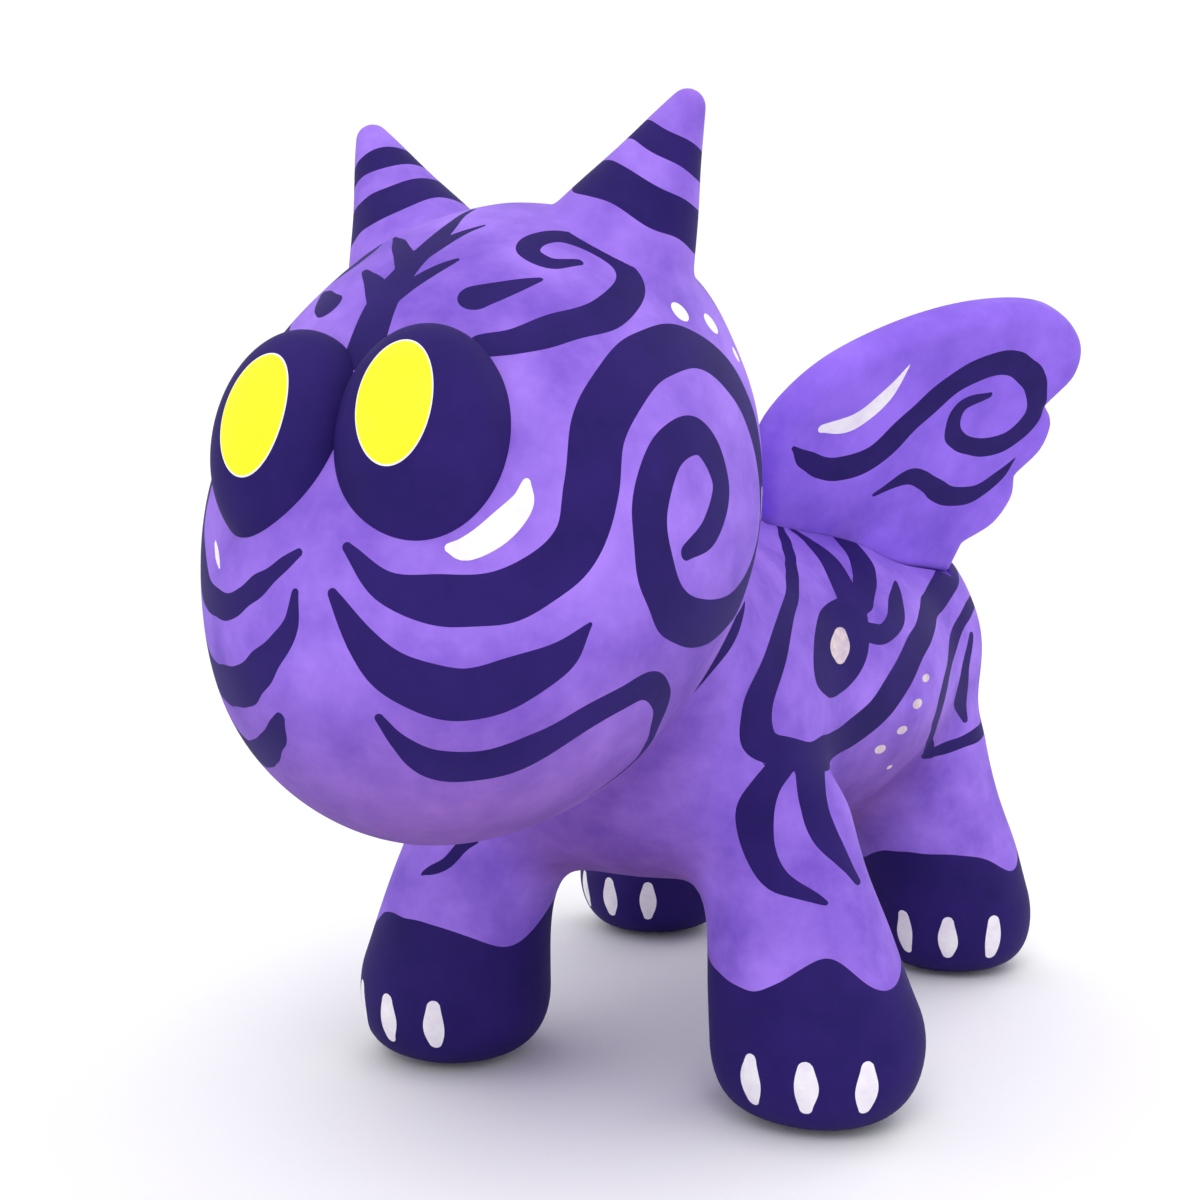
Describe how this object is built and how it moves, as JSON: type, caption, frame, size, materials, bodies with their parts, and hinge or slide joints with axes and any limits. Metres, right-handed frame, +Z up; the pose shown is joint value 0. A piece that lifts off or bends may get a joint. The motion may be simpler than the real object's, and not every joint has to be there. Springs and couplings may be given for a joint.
{
  "type": "alebrije figure",
  "caption": "Winged, cat-eared alebrije creature in carved wood, painted violet with indigo swirls, big yellow eyes and push-fit ears and wings.",
  "frame": {"origin": "on the table, under the middle of the figure's length and width", "axes": "+Z up, the figure faces -Y, and its left side is +X"},
  "size_m": [0.1156, 0.1835, 0.1433],
  "materials": {
    "lavender_paint": "matte acrylic paint on carved wood, mottled violet with indigo and white brush marks",
    "indigo_paint": "matte acrylic paint on carved wood, deep indigo with yellow pupils",
    "bare_wood": "unpainted turned wood, hidden in use"
  },
  "bodies": {
    "figure": {"torso": "lavender_paint", "head": "lavender_paint", "neck_dowel": "bare_wood", "leg_front_left": "lavender_paint", "leg_front_left_dowel": "bare_wood", "leg_front_right": "lavender_paint", "leg_front_right_dowel": "bare_wood", "leg_rear_left": "lavender_paint", "leg_rear_left_dowel": "bare_wood", "leg_rear_right": "lavender_paint", "leg_rear_right_dowel": "bare_wood", "eye_left": "indigo_paint", "eye_left_pin": "bare_wood", "eye_right": "indigo_paint", "eye_right_pin": "bare_wood"},
    "ear_left_piece": {"ear_left": "lavender_paint", "ear_left_peg": "bare_wood"},
    "wing_left_piece": {"wing_left": "lavender_paint", "wing_left_peg_front": "bare_wood", "wing_left_peg_rear": "bare_wood"},
    "ear_right_piece": {"ear_right": "lavender_paint", "ear_right_peg": "bare_wood"},
    "wing_right_piece": {"wing_right": "lavender_paint", "wing_right_peg_front": "bare_wood", "wing_right_peg_rear": "bare_wood"}
  },
  "joints": [
    {"name": "ear_left_pull", "type": "slide", "parent": "figure", "child": "ear_left_piece", "axis": [0.4457, 0.0817, 0.8914], "range_m": [0, 0.014]},
    {"name": "wing_left_pull", "type": "slide", "parent": "figure", "child": "wing_left_piece", "axis": [0.4581, -0.2205, 0.8611], "range_m": [0, 0.024]},
    {"name": "ear_right_pull", "type": "slide", "parent": "figure", "child": "ear_right_piece", "axis": [-0.4457, 0.0817, 0.8914], "range_m": [0, 0.014]},
    {"name": "wing_right_pull", "type": "slide", "parent": "figure", "child": "wing_right_piece", "axis": [-0.4581, -0.2205, 0.8611], "range_m": [0, 0.024]}
  ]
}
